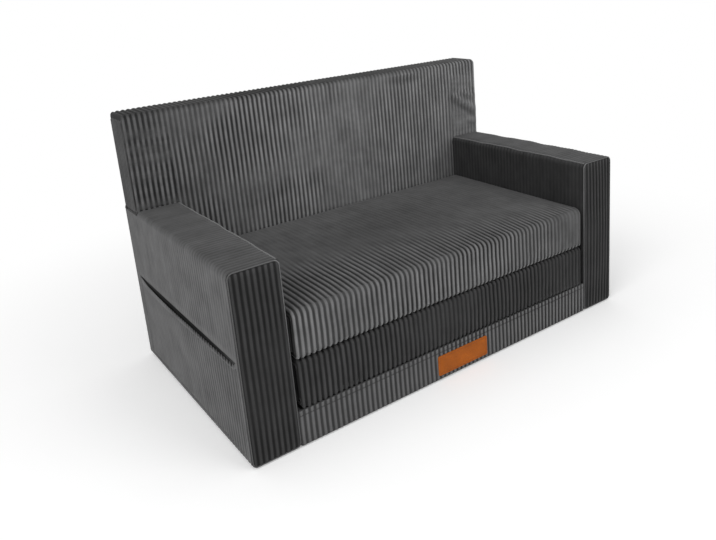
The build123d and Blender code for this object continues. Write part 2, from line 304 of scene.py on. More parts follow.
class Block:
    """Foam block in a fitted cover: a band with wales along its section, and two end panels."""

    def __init__(self, ways, start, length, section, rounds, draw=0.0, hole=None, foot=None, pressed=0.0,
                 top_corner=0.0, foot_corner=0.0):
        self.run, self.side, self.up = (np.array(v, float) for v in (*ways, (0, 0, 1)))
        self.origin, self.length, self.section = start * np.abs(self.run), length, section
        self.middle = (section.low + section.high) / 2
        self.half = (section.high - section.low) / 2
        self.rounds = np.broadcast_to(rounds, 2)
        self.draw, self.hole, self.foot, self.pressed = draw, hole, foot, pressed
        self.top_corner, self.foot_corner = top_corner, foot_corner

    def place(self, t, a, b):
        """Points at a distance along the run, and two places across it."""
        t, a, b = (np.asarray(v, float)[..., None] for v in (t, a, b))
        return self.origin + t * self.run + a * self.side + b * self.up

    def outward(self):
        """Way out of the flat block at each point of its section."""
        normals = self.section.normals
        return normals[:, :1] * self.side + normals[:, 1:] * self.up

    def raised(self, t, a, b):
        """Lifts the section's foot near both ends, where the block rests on something."""
        reach, level = self.foot
        section = self.section
        low, high = section.low[1], section.high[1]
        to_end = np.minimum(t, self.length - t)[:, None]
        fixed = high - foot_kept
        lifted = np.where(b < fixed, fixed - (fixed - b) * (fixed - level(to_end)) / (fixed - low), b)
        rear, front = ((section.sides == side) & (section.turns > 0) for side in (REAR, FOOT))
        squared = np.where(rear, a.max(axis=1)[:, None], np.where(front, a.min(axis=1)[:, None], a))
        at_end = to_end < reach
        return np.where(at_end, squared, a), np.where(at_end, lifted, b)

    def band(self, shell, caps, seed, ribbed=(1, 1, 1, 1), lies=(1, 1, 1, 1), crush=0.0,
             shading=None, worn=None, folds=None, bow=None):
        """The cloth round the block. Caps, ribbed and the painted light and shade are given for each side."""
        section, length, hole = self.section, self.length, self.hole
        t, rise = wales(length)
        foot_edges = (self.foot[0], length - self.foot[0]) if self.foot else ()
        hole_edges = hole["run"] if hole else ()
        for edge in (*foot_edges, *hole_edges):
            t[np.argmin(np.abs(t - edge))] = edge
        share = np.clip(t / length, 0, 1)[:, None]
        lean = sway(t, section.runs, seed) * np.clip(sway_start * hump(share), 0, 1)
        to_end = np.minimum(t, length - t)
        at_start = t < length / 2
        inset = rounded_cut(to_end, np.where(at_start, *self.rounds))
        drawn = self.draw * hump(share[:, 0])
        sizes = (1 - (inset + drawn) / self.half[0], 1 - inset / self.half[1])
        a, b = (self.middle[k] + (section.points[:, k] - self.middle[k]) * sizes[k][:, None] for k in (0, 1))
        upward, downward = (np.maximum(sign * section.normals[:, 1], 0) for sign in (1, -1))
        if self.top_corner:
            b = b - np.maximum(rounded_cut(to_end, self.top_corner) - inset, 0)[:, None] * upward
        if self.foot_corner:
            cut = np.where(at_start, rounded_cut(to_end, self.foot_corner) - inset, 0)
            b = b + np.maximum(cut, 0)[:, None] * downward
        if bow is not None:
            beyond = np.clip((t - self.pressed) / (length - self.pressed), 0, 1)
            b = b + bow(beyond)[:, None] * upward
        if self.foot is not None:
            a, b = self.raised(t, a, b)
        flat = crushed(t, section.runs, 1.0, seed) * crush
        if worn is not None:
            flat = 1 - (1 - flat) * (1 - np.clip(worn(share, section), 0, 1))
        depth = wale_depth * section.spread(ribbed) * (1 - crush_depth * flat)
        grid = self.place(t[:, None] + lean, a, b) + self.swelling(t, caps)
        if folds is not None:
            folded = folds(t[:, None], b, section)
            grid = grid + folded[..., None] * self.outward()
            depth = depth * (1 + fold_flattening * np.minimum(folded / np.max(np.abs(folded)), 0))
        height = np.repeat(rise[:, None], len(section.points), axis=1)
        skip = None
        if hole is not None:
            height = 1 - (1 - height) * np.clip(self.from_hole(t) / hole["flat"], 0, 1)
            skip = self.in_hole(t)
        grid = grid + closed_normals(grid) * ((height - 1) * depth)[..., None]
        lie = np.broadcast_to(section.spread(lies), flat.shape)
        if shading is not None:
            lie = lie * shading(share, section, b)
        index = shell.add_grid(grid, t, section.runs, height, closed=True, skip=skip, lie=lie, crush=flat)
        return index[0], index[-1]

    def swelling(self, t, caps):
        """How far the cover stands off the flat block, up to its cap on each side."""
        section, caps = self.section, np.array(caps)
        off = interpolated(t, *self.simulated(caps))
        if self.pressed:
            off = off * smooth(t[:, None], self.pressed, self.pressed + freed_reach)
        return off[..., None] * self.outward()

    def simulated(self, caps):
        """How the foam pushes the cover out: cloth simulation of a plain copy of its band."""
        section = self.section
        t = stations(0, self.length, form_step)
        grid = self.place(t[:, None], *section.points.T)
        shell = Shell()
        index = shell.add_grid(grid, t, section.runs, closed=True)
        copy = shell.build("cover_form")
        pinned = np.repeat((caps == 0)[section.sides][None, :], len(t), axis=0)
        if self.hole is not None:
            pinned |= self.from_hole(t) < form_step
        pinned[[0, -1]] = True
        copy.vertex_groups.new(name="held").add([int(i) for i in index[pinned]], 1.0, "REPLACE")
        cloth = copy.modifiers.new("cover", "CLOTH").settings
        cloth.vertex_group_mass = "held"
        cloth.use_pressure = True
        cloth.uniform_pressure_force = form_pressure
        cloth.shrink_min = -form_slack
        cloth.effector_weights.gravity = 0
        for step in range(1, form_frames + 1):
            bpy.context.scene.frame_set(step)
        settled = copy.evaluated_get(bpy.context.evaluated_depsgraph_get()).data
        places = np.zeros(len(settled.vertices) * 3, np.float32)
        settled.vertices.foreach_get("co", places)
        off = np.maximum(((places.reshape(grid.shape) - grid) * self.outward()).sum(axis=2), 0)
        bpy.context.scene.frame_set(1)
        bpy.data.objects.remove(copy)
        most = np.array([max(off[:, section.flat_on(side)].max(), least_swelling) for side in range(4)])
        return t, off * section.spread(np.minimum(caps / most, 1))

    def rear_face(self, t):
        """Place of the flat rear side along the run."""
        return self.middle[0] + self.half[0] - self.draw * hump(np.clip(t / self.length, 0, 1))

    def from_hole(self, t):
        """Distance from the opening in the rear side."""
        (low, high), (start, stop) = self.hole["across"], self.hole["run"]
        across = self.section.points[:, 1]
        near = np.maximum(np.maximum(low - across, across - high), 0)
        near = np.where(self.section.sides == REAR, near, self.length)
        beyond = np.maximum(np.maximum(start - t, t - stop), 0)[:, None]
        return np.maximum(near, beyond)

    def in_hole(self, t):
        """For each face of the band, whether the opening takes it out."""
        (low, high), (start, stop) = self.hole["across"], self.hole["run"]
        across = self.section.points[:, 1]
        middle = (across + np.roll(across, -1)) / 2
        centre = ((t[:-1] + t[1:]) / 2)[:, None]
        inside = (middle > low) & (middle < high) & (self.section.sides == REAR)
        return (centre > start) & (centre < stop) & inside

    def end_panel(self, shell, ring, at_end, bulge=0, ribbed=1.0, sink=seam_sink, lie=1.0, crush=0.0):
        """Panel with upright wales that closes one end of the band."""
        section, end_round = self.section, self.rounds[int(at_end)]
        inset = end_round + seam_inset
        foot = np.array((section.low[0], self.foot[1](0.0))) if self.foot else section.low
        foot_corner = 0 if at_end else self.foot_corner
        low = foot + inset + np.array((0, max(foot_corner - end_round, 0)))
        high = section.high - inset - np.array((0, max(self.top_corner - end_round, 0)))
        across, rise = wales(high[0] - low[0])
        height = high[1] - low[1]
        edge = panel_edge / height
        shares = np.linspace(0, 1, max(fewest_rows, int(height / row_step)))
        shares = np.concatenate([[0, edge], shares[1:-1], [1 - edge, 1]])
        cut = rounded_cut(np.minimum(across, across[-1] - across), panel_corner)
        start, stop = low[1] + cut, high[1] - cut
        a = np.repeat((low[0] + across)[:, None], len(shares), axis=1)
        b = start[:, None] + (stop - start)[:, None] * shares
        fade = np.clip(np.minimum(shares, 1 - shares) / edge, 0, 1)
        rise = rise[:, None] * fade
        out = bulge * hump((across / across[-1])[:, None]) * hump(shares)
        out = out + (rise - 1) * wale_depth * ribbed - sink * (1 - fade)
        t = self.length + out if at_end else -out
        index = shell.add_grid(self.place(t, a, b), across, shares * height, rise, flip=not at_end,
                               lie=lie, crush=crush)
        flat_axes = [int(np.argmax(np.abs(way))) for way in (self.side, self.up)]
        middle = self.place(0, *((foot + section.high) / 2))[flat_axes]
        shell.stitch(ring, rim_loop(index), middle, (section.high - foot) / 2, flat_axes, flip=not at_end)

    def end_panels(self, shell, rings, **look):
        """Panels of one look at both ends of the band."""
        for ring, at_end in zip(rings, (False, True)):
            self.end_panel(shell, ring, at_end, **look)


def close_rim(piece, inward=None):
    """Turns a cloth in round its openings, or joins its two layers along their edges."""
    mesh = bmesh.new()
    mesh.from_mesh(piece.data)
    rim = [e for e in mesh.edges if e.is_boundary]
    if inward is None:
        bmesh.ops.bridge_loops(mesh, edges=rim)
    else:
        made = bmesh.ops.extrude_edge_only(mesh, edges=rim)
        moved = [v for v in made["geom"] if isinstance(v, bmesh.types.BMVert)]
        bmesh.ops.translate(mesh, verts=moved, vec=Vector(inward))
    bmesh.ops.recalc_face_normals(mesh, faces=mesh.faces)
    mesh.to_mesh(piece.data)
    mesh.free()


def two_layers(name, outer, inner, across, along, inner_rise=1.0, **pile):
    """Cloth with a thickness: an outer grid, an inner one that runs the other way, and the rim between."""
    shell = Shell()
    shell.add_grid(outer, across, along, **pile)
    shell.add_grid(inner, across, along, inner_rise)
    piece = shell.build(name)
    close_rim(piece)
    return piece


def tube(shell, path, radius, out, closed=True, swell=welt_fullness, lie=1.0):
    """Round welt along a path, a little fuller between its stitches."""
    runs = runs_along(path)
    if closed:
        tangent = np.roll(path, -1, axis=0) - np.roll(path, 1, axis=0)
    else:
        tangent = np.gradient(path, axis=0)
    tangent /= np.linalg.norm(tangent, axis=1, keepdims=True)
    side = np.cross(tangent, np.broadcast_to(np.array(out, float), path.shape))
    side /= np.linalg.norm(side, axis=1, keepdims=True)
    out = np.cross(side, tangent)
    turn = np.linspace(0, 2 * math.pi, welt_sides, endpoint=False)[None, :, None]
    size = radius * (1 + swell * np.sin(2 * math.pi * runs / welt_stitch))
    rings = np.cos(turn) * out[:, None, :] + np.sin(turn) * side[:, None, :]
    grid = path[:, None, :] + size[:, None, None] * rings
    lie = np.broadcast_to(lie, runs.shape)
    if closed:
        grid = np.concatenate([grid, grid[:1]], axis=0)
        lie = np.append(lie, lie[:1])
        runs = np.append(runs, runs[-1])
    shell.add_grid(grid, runs, np.zeros(welt_sides), closed=True, flip=True, lie=lie[:, None])


def stitched(name, outline, length, gap, inward):
    """Short stitches round a closed outline; inward is the way into the cloth along Y."""
    shell = Shell()
    closed = np.concatenate([outline, outline[:1]])
    runs = runs_along(closed)
    count = int(runs[-1] / (length + gap))
    bend = (2 * np.linspace(0, 1, thread_points) - 1) ** 4
    dip = thread_radius * thread_dip * bend - thread_radius * thread_proud
    for k in range(count):
        along = runs[-1] * k / count + np.linspace(0, length, thread_points)
        x, y, z = (np.interp(along, runs, closed[:, axis]) for axis in range(3))
        path = points_grid(x, y + inward * dip, z)
        tube(shell, path, thread_radius, (0, -inward, 0), closed=False, swell=0)
    return shell.build(name)


# Materials

streak_scale = (75.0, 14.0, 1.0)
nap_scale = 15.0
fibre_scale = 900.0
streak_spread = 0.3
streak_range = (0.3, 0.7)
nap_range = (0.35, 0.65)
fibre_tones = (0.9, 1.1)
crest_range = (0.3, 0.95)
flattened_share = 0.98
thread_wobble = 0.6
thread_tones = (0.75, 1.15)
dye_scale = 40.0
dye_tones = (0.85, 1.12)
velour_bump = (0.35, 0.6 * MM)
velour_surface = {"Roughness": 0.9, "Specular IOR Level": 0.12, "Sheen Weight": 0.12, "Sheen Roughness": 0.45}
weave_depth = 0.4 * MM


def material(name):
    """Empty node material with its shader."""
    made = bpy.data.materials.new(name)
    made.use_nodes = True
    nodes = made.node_tree.nodes
    nodes.clear()
    shader = nodes.new("ShaderNodeBsdfPrincipled")
    output = nodes.new("ShaderNodeOutputMaterial")
    made.node_tree.links.new(shader.outputs["BSDF"], output.inputs["Surface"])
    return made, shader


def node(tree, kind, **settings):
    """New node with its settings, and its inputs by name."""
    made = tree.nodes.new(kind)
    for key, value in settings.items():
        if key.startswith("in_"):
            made.inputs[key[3:].replace("_", " ")].default_value = value
        else:
            setattr(made, key, value)
    return made


def attribute(tree, name, output="Fac"):
    """A value that the mesh carries."""
    return node(tree, "ShaderNodeAttribute", attribute_name=name).outputs[output]


def shade(level):
    """Grey of an sRGB level from 0 to 255, as linear light, a little cool."""
    value = (level / 255) ** 2.2
    return (value, value, value * 1.01, 1)


def effect(name, inputs, outputs):
    """Empty shader node group with named inputs and outputs."""
    group = bpy.data.node_groups.new(name, "ShaderNodeTree")
    for way, sockets in (("INPUT", inputs), ("OUTPUT", outputs)):
        for label, kind in sockets.items():
            group.interface.new_socket(label, in_out=way, socket_type="NodeSocket" + kind)
    given, out = group.nodes.new("NodeGroupInput"), group.nodes.new("NodeGroupOutput")
    return group, given.outputs, out.inputs


def ranged(tree, source, low, high, to_low, to_high, smooth=False):
    """A value spread from one range to another."""
    made = node(tree, "ShaderNodeMapRange", in_From_Min=low, in_From_Max=high,
                in_To_Min=to_low, in_To_Max=to_high)
    made.interpolation_type = "SMOOTHSTEP" if smooth else "LINEAR"
    tree.links.new(source, made.inputs["Value"])
    return made.outputs["Result"]


def joined(tree, operation, first, second):
    """Two values put together by an operation."""
    made = node(tree, "ShaderNodeMath", operation=operation)
    for k, value in enumerate((first, second)):
        if isinstance(value, float):
            made.inputs[k].default_value = value
        else:
            tree.links.new(value, made.inputs[k])
    return made.outputs["Value"]


def times(tree, first, second):
    """Two values multiplied."""
    return joined(tree, "MULTIPLY", first, second)


def mixed(tree, share, first, second, blend="MIX"):
    """Two colours mixed by a share."""
    made = node(tree, "ShaderNodeMix", data_type="RGBA", blend_type=blend)
    if isinstance(share, float):
        made.inputs["Factor"].default_value = share
    else:
        tree.links.new(share, made.inputs["Factor"])
    tree.links.new(first, made.inputs["A"])
    tree.links.new(second, made.inputs["B"])
    return made.outputs["Result"]


def speckle(tree, place, scale, detail, roughness=0.5, seed=None):
    """Noise at a place, with a seed where one is given."""
    made = node(tree, "ShaderNodeTexNoise", noise_dimensions="3D" if seed is None else "4D",
                in_Scale=scale, in_Detail=detail, in_Roughness=roughness)
    tree.links.new(place, made.inputs["Vector"])
    if seed is not None:
        tree.links.new(seed, made.inputs["W"])
    return made.outputs["Fac"]


def pile_effect():
    """Ribbed pile: painted highlight on the crests, painted shade in the grooves between, flattened patches,
    streaks along the wales, and the painted light and shade that each point carries.
    """
    inputs = {"Crest": "Color", "Groove Shade": "Color", "Streaks": "Float", "Seed": "Float"}
    group, given, out = effect("ribbed_pile", inputs, {"Colour": "Color", "Height": "Float"})
    rise, flat, lie = (attribute(group, label) for label in ("wale_rise", "pile_crush", "pile_lie"))
    wale = attribute(group, "wale_place", "Vector")
    stretched = node(group, "ShaderNodeMapping", in_Scale=streak_scale)
    group.links.new(wale, stretched.inputs["Vector"])
    streak = speckle(group, stretched.outputs["Vector"], 1.0, 3.0, 0.6, given["Seed"])
    nap = speckle(group, wale, nap_scale, 4.0, 0.65, given["Seed"])
    pile = speckle(group, wale, fibre_scale, 2.0)
    # The crest colour is a painted highlight on the wales, and the darker colour between them is painted
    # shade in the grooves.
    lit = ranged(group, rise, *crest_range, 0.0, 1.0, smooth=True)
    upright = mixed(group, lit, given["Groove Shade"], given["Crest"])
    lying = mixed(group, 0.5, given["Groove Shade"], given["Crest"])
    pile_colour = mixed(group, times(group, flat, flattened_share), upright, lying)
    spread, cloud = (times(group, ranged(group, source, *limits, -streak_spread, streak_spread),
                           given["Streaks"])
                     for source, limits in ((streak, streak_range), (nap, nap_range)))
    uneven = joined(group, "ADD", joined(group, "ADD", spread, cloud), 1.0)
    speck = ranged(group, pile, *streak_range, *fibre_tones)
    # The painted light and shade that the mesh carries multiply the colour here.
    level = times(group, times(group, uneven, speck), lie)
    group.links.new(mixed(group, 1.0, pile_colour, level, blend="MULTIPLY"), out["Colour"])
    group.links.new(pile, out["Height"])
    return group


def weave_effect():
    """Woven cloth: two crossed sets of threads with a little uneven dye."""
    inputs = {"Place": "Vector", "Dye": "Color", "Threads": "Float"}
    group, given, out = effect("crossed_threads", inputs, {"Colour": "Color", "Height": "Float"})
    waves = []
    for direction in "XYZ":
        wave = node(group, "ShaderNodeTexWave", in_Distortion=thread_wobble, bands_direction=direction)
        group.links.new(given["Place"], wave.inputs["Vector"])
        group.links.new(given["Threads"], wave.inputs["Scale"])
        waves.append(wave.outputs["Fac"])
    warp, weft, cross = waves
    dye = speckle(group, given["Place"], dye_scale, 4.0)
    threads = joined(group, "MAXIMUM", times(group, warp, cross), times(group, weft, cross))
    tone = ranged(group, threads, 0.0, 1.0, *thread_tones)
    uneven = times(group, tone, ranged(group, dye, *streak_range, *dye_tones))
    group.links.new(mixed(group, 1.0, given["Dye"], uneven, blend="MULTIPLY"), out["Colour"])
    group.links.new(threads, out["Height"])
    return group


def finished(name, group, values, bump, depth, surface):
    """Material whose colour and bump come from a shared effect, with its own values and surface."""
    made, shader = material(name)
    tree = made.node_tree
    effect_node = node(tree, "ShaderNodeGroup", node_tree=group)
    for target, numbers in ((effect_node, values), (shader, surface)):
        for label, value in numbers.items():
            target.inputs[label].default_value = value
    relief = node(tree, "ShaderNodeBump", in_Strength=bump, in_Distance=depth)
    tree.links.new(effect_node.outputs["Colour"], shader.inputs["Base Color"])
    tree.links.new(effect_node.outputs["Height"], relief.inputs["Height"])
    tree.links.new(relief.outputs["Normal"], shader.inputs["Normal"])
    return made, effect_node


def velour(name, crest, groove_shade, streaks, seed):
    """Ribbed velour with crests of a grey level, and the painted shade in its grooves as a share of it."""
    values = {"Crest": shade(crest), "Groove Shade": shade(crest * groove_shade), "Streaks": streaks, "Seed": seed}
    return finished(name, ribbed_pile, values, *velour_bump, velour_surface)[0]


def cloth_finish(name, colour, threads, roughness=0.85, bump=0.4, from_mesh=False):
    """Woven cloth, whose threads follow the piece, or its mesh where the piece bends."""
    values = {"Dye": colour, "Threads": threads}
    made, weave = finished(name, crossed_threads, values, bump, weave_depth, {"Roughness": roughness})
    tree = made.node_tree
    if from_mesh:
        place = attribute(tree, "wale_place", "Vector")
    else:
        place = node(tree, "ShaderNodeTexCoord").outputs["Object"]
    tree.links.new(place, weave.inputs["Place"])
    return made


ribbed_pile = pile_effect()
crossed_threads = weave_effect()
# These velours are one cloth; their crest grey levels differ by piece as painted light and shade, e.g. the
# arm fronts (63) and the lower cushion under the seat (68) painted dark, the back (141) painted light.
back_velour = velour("back_velour", 141, groove_shade=0.42, streaks=0.6, seed=1.0)
seat_velour = velour("seat_velour", 122, groove_shade=0.4, streaks=0.6, seed=2.0)
lower_velour = velour("lower_cushion_velour", 68, groove_shade=0.55, streaks=0.5, seed=3.0)
base_velour = velour("base_cover_velour", 82, groove_shade=0.4, streaks=0.4, seed=4.0)
strip_velour = velour("front_strip_velour", 110, groove_shade=0.45, streaks=0.3, seed=5.0)
arm_velour = velour("arm_side_velour", 106, groove_shade=0.82, streaks=0.6, seed=6.0)
arm_front_velour = velour("arm_front_velour", 63, groove_shade=0.6, streaks=0.4, seed=7.0)
pocket_velour = velour("pocket_velour", 107, groove_shade=0.8, streaks=0.55, seed=8.0)
welt_velour = velour("welt_velour", 98, groove_shade=0.8, streaks=0.2, seed=9.0)
pocket_cloth = cloth_finish("pocket_lining_cloth", shade(58), 900)
hinge_finish = cloth_finish("hinge_cloth_weave", shade(52), 700, from_mesh=True)
tape_finish = cloth_finish("zip_tape_weave", shade(38), 1100)
floor_finish = cloth_finish("floor_sheet_grip", shade(40), 260, bump=0.8)
foam_finish = cloth_finish("foam_cells", (0.62, 0.58, 0.42, 1), 500, bump=0.6)
teeth_finish = cloth_finish("zip_teeth_nylon", shade(58), 300, roughness=0.45, bump=0.1)
metal_finish = cloth_finish("slider_enamel", shade(74), 60, roughness=0.35, bump=0.05)
patch_finish = cloth_finish("patch_felt", (0.42, 0.1, 0.0, 1), 420, roughness=0.9, bump=0.5)
thread_finish = cloth_finish("patch_thread", (0.30, 0.07, 0.01, 1), 900, roughness=0.6)
cover_thread = cloth_finish("cover_thread", shade(84), 900, roughness=0.6)


def place_piece(piece, finish, body):
    """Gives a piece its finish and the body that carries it."""
    piece.data.materials.clear()
    piece.data.materials.append(finish)
    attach(piece, body)


def place_cover(piece, finish, body, packed):
    """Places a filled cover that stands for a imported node."""
    place_piece(piece, finish, body)
    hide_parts(packed)


def sided(piece, side):
    """Turns a piece made for the right side over where it belongs to the left."""
    if side == "left":
        piece.data.transform(Matrix.Diagonal((-1, 1, 1, 1)))
        piece.data.flip_normals()
    return piece


# The sofa's own sizes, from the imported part
def node_box(name):
    """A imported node's lowest and highest corners."""
    return [np.array(corner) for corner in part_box(name)]


back_low, back_high = node_box("back_cover")
base_low, base_high = node_box("base_cover")
strip_low, strip_high = node_box("base_front_strip")
arm_low, arm_high = node_box("right_arm_cover")
arm_front_low, arm_front_high = node_box("right_arm_front")
panel_low, panel_high = node_box("right_pocket_panel")
hem_low, hem_high = node_box("right_pocket_elastic")
lining_low, lining_high = node_box("right_pocket_lining")
patch_low, patch_high = node_box("front_patch")

# Back; a crease is its start along and up, slope, reach, width and strength
back_crown = 3 * MM
back_face_y = back_low[1] + back_crown
back_clear = 0.2 * MM
back_end_round = 4 * MM
back_top_corner = 11 * MM
back_radii = (4 * MM, 11 * MM, 9 * MM, 9.5 * MM)
back_notch_clear = 0.5 * MM
back_creases = ((0.45, 0.385, 0.62, 0.13, 0.009, 1.0), (0.45, 0.422, 0.5, 0.09, 0.007, 0.6),
                (0.45, 0.362, 0.3, 0.06, 0.006, 0.5), (0.26, 0.508, 0.05, 0.12, 0.009, 0.6))
creased_heights = ((0.4, 0.46), (0.49, 0.524))
creased_step = 4 * MM
crease_ridge = 2.6 * MM
crease_depth = 1.2 * MM
crease_side = 1.9
crease_rise = (-0.01, 0.02)
crease_kept = 0.4
crease_shadow = 0.5
ridge_light = 0.15
back_end_dark = 0.5
back_end_dark_reach = 0.4
back_top_light = 1.8
back_top_rise = (0.6, 0.97)
back_rubbed = 0.25
back_rubbed_low = 0.4

# Base, strip and cushions
base_clear = 0.25 * MM
base_round = 1 * MM
base_radii = (0.3 * MM, 3 * MM, 0.3 * MM, 0.3 * MM)
strip_seam = 10 * MM
strip_reach = 1 * MM
strip_edge = 1.5 * MM
seat_crown = 6 * MM
seat_radii = (8 * MM, 13 * MM, 14 * MM, 7.5 * MM)
lower_radii = (2 * MM, 8 * MM, 8 * MM, 8 * MM)
cushion_draw = 3 * MM
cushion_end_round = 9 * MM
cushion_belly = 1.5 * MM
cushion_rubbed = 0.3
seat_dark = 0.44
seat_dark_places = ((0.5, 0.38), (0.52, 0.36))
seat_front_dark = 0.14
seat_front_dark_rise = (0.5, 0.8)
seat_rubbed_from = 0.4
seat_end_rubbed = 0.8
seat_end_rise = (0.8, 0.95)
lower_dark = 0.18
lower_dark_rise = (0.4, 0.8)
end_bulge = 2 * MM
# Painted shade on the cushions' end panels, down in the slots beside the arms.
slot_lie = 0.45

# Panels that face forward
pad_seam_rows = (-2 * MM, -0.7 * MM, 0.7 * MM, 2 * MM)
pad_seam_width = 1.2 * MM
pad_seam_depth = 0.5
pad_sway_start = 6
pad_crush_depth = 0.6
pad_clear = 0.2 * MM
pad_highlight_reach = 7 * MM

# Arms; a ripple is its rate, phase and weight
arm_crown = 0.5 * MM
arm_bow = 1.5 * MM
arm_slope = 3.5 * MM
arm_ripple = 0.8 * MM
arm_ripples = ((19, 0, 1), (41, 1, 0.6))
arm_top = arm_high[2] - arm_slope
arm_end_round = 1 * MM
arm_rear_round = 4 * MM
arm_foot_corner = 7.5 * MM
arm_foot_radius = 5 * MM
arm_edge = 9 * MM
arm_front_corner = 10 * MM
arm_front_crown = 3 * MM
arm_front_edge = 5 * MM
arm_wale_share = 0.4
arm_window_flat = 2 * MM
front_welt_inset = 1.6 * MM
front_welt_proud = 0.8 * MM
front_welt_foot = 8 * MM
# Painted shade on the front welt, a painted highlight up its inner side, and a painted highlight on the top
# welt.
front_welt_lie = 0.9
front_welt_highlight = 0.5
front_welt_heights = (0.15, 0.27)
top_welt_radius = 1.5 * MM
top_welt_turn = math.radians(65)
top_welt_step = 1.5 * MM
top_welt_lie = 1.35
arm_rubbed_top = 0.9
arm_rubbed_side = 0.8

# Zips; a tooth's profile is its reach, depth and width
zip_half = 5 * MM
zip_tape_margin = 8 * MM
zip_placket = 9 * MM
zip_stitch = 3.5 * MM
zip_stitch_corner = 3 * MM
zip_stitch_length = 3.0 * MM
zip_stitch_gap = 1.2 * MM
stop_length = 3 * MM
stop_height = 0.6 * MM
tooth_pitch = 2.2 * MM
tooth_length = 2.7 * MM
tooth_width = 1.0 * MM
tooth_proud = 0.15 * MM
tooth_depth = 1.6 * MM
tooth_round = 0.8 * MM
tooth_profile = ((tooth_length, -tooth_depth, 1), (tooth_length, -tooth_round, 1),
                 (tooth_length - tooth_round, 0, 0.8), (-0.4 * MM, 0, 0.8), (-0.6 * MM, -tooth_depth, 1))

# Pockets; the hem's section is how far out in mm and up, and how much it follows the folds
pocket_mouth = 9 * MM
pocket_edge = 3 * MM
pocket_rows = (0.01, 0.86, 0.91, 0.95, 0.98, 0.996)
pocket_row_step = 0.06
pocket_crush_depth = 0.8
pocket_fade = 5 * MM
pocket_fade_gathered = 7 * MM
gather_points = 8
gather_front = 1.45
gather_fall = 1.6
gather_least = 0.12
gather_start = 0.03
hem_pull = 2 * MM
hem_sag = 2.5 * MM
hem_sag_place = 0.74
hem_sag_reach = 0.3
hem_close = 5 * MM
hem_close_rear = (0.9, 1)
hem_close_front = (0.015, 0.035)
hem_notch = 8.5 * MM
hem_fold = 1.6 * MM
hem_shadow = 0.9
hem_shadow_rows = (-1.2, 0.6)
hem_back_shadow = 0.5
hem_section = ((-0.2, -1.4, 1), (0.06, -1.18, 1), (0.08, -0.6, 1), (0.1, 0, 1), (0.05, 0.6, 1),
               (-0.3, 0.92, 0.9), (-0.75, 1, 0.75), (-1.2, 0.92, 0.6), (-1.5, 0.6, 0.5),
               (-2.2, -0.1, 0.2), (-2.9, -1, 0), (-1.6, -1.4, 0.3))
pinch_place = 5 * MM
pinch_width = 2 * MM
pinch_depth = 1.8 * MM
pinch_fade = 12 * MM
pinch_shadow = 0.5
pucker_shadow = 0.6
pucker_uneven = 0.2
pucker_rates = (211, 97)
pocket_worn = 0.8
pocket_worn_rise = (0.15, 0.7)
pocket_front_shadow = 0.12
pocket_front_rise = (0.05, 0.25)
cloth = 3 * MM
lining_sink = 8 * MM
lining_over = 1.2 * MM
lining_reach = 220 * MM
lining_step = 12 * MM
lining_clear = 0.4 * MM
lining_thick = 0.8 * MM
lining_fold = 0.3 * MM

# Patch and hinge cloths
patch_corner = 3 * MM
patch_edge = 0.5 * MM
patch_edge_ease = 0.8
patch_sunk = 1.0 * MM
patch_step = 4 * MM
patch_row_step = 0.08
patch_rows = (0.012, 0.988)
patch_stitch_inset = 3.5 * MM
patch_stitch_corner = 1.5 * MM
patch_stitch_length = 3.2 * MM
patch_stitch_gap = 1.0 * MM
patch_dent = 0.35 * MM
patch_dent_width = 1.2 * MM
patch_thread_sunk = 0.15 * MM
hinge_thick = 0.25 * MM
hinge_clear = (0.15 * MM, 0.25 * MM)
hinge_out = 3 * MM
hinge_bend = 0.3 * MM
hinge_steps = 12
hinge_bend_points = 9
outline_step = 1 * MM


# Zips


def zip_place(name):
    """A zip tape's box, and the height of its middle."""
    tape = node_box(name + "_zip_tape")
    return tape, (tape[0][2] + tape[1][2]) / 2


def zip_edges(y, centre):
    """The edges of a zip's slot in a rear face, to keep in a section."""
    return [(REAR, (y, centre + zip_half)), (REAR, (y, centre - zip_half))]


def zip_hole(tape, start, centre):
    """The slot that a zip leaves in a block's rear face."""
    low, high = tape[0][0] + zip_tape_margin, tape[1][0] - zip_tape_margin
    return {"across": (centre - zip_half, centre + zip_half), "run": (low - start, high - start),
            "flat": zip_placket}


def finish_zip(name, body, tape, centre, block):
    """Coil teeth along a zip's chain, and the stitches round its slot."""
    start, stop = block.hole["run"]
    shell = Shell()
    top = tape[1][1] - stop_height + tooth_proud
    x = block.origin[0] + start + stop_length + tooth_pitch
    count = int((stop - start - 2 * stop_length - 2 * tooth_pitch) / tooth_pitch)
    for k in range(count):
        for way, shift in ((1, 0), (-1, 0.5)):
            middle = x + (k + shift) * tooth_pitch
            half = way * tooth_width / 2
            grid = np.array([[(middle + side * half * width, top + depth, centre + way * reach)
                              for reach, depth, width in tooth_profile] for side in (-1, 1)])
            index = shell.add_grid(grid, (0, 1), np.arange(len(tooth_profile)) * MM, closed=True)
            shell.cap(index[0][::-1])
            shell.cap(index[1])
    teeth = shell.build(name + "_zip_teeth")
    place_piece(teeth, teeth_finish, body)
    for face in teeth.data.polygons:
        face.use_smooth = False
    low, high = block.hole["across"]
    border = Section((start - zip_stitch, low - zip_stitch), (stop + zip_stitch, high + zip_stitch),
                     (zip_stitch_corner,) * 4, outline_step)
    along, z = border.points.T
    outline = points_grid(block.origin[0] + along, block.rear_face(along), z)
    thread = stitched(name + "_zip_stitches", outline, zip_stitch_length, zip_stitch_gap, -1)
    place_piece(thread, cover_thread, body)


# Back


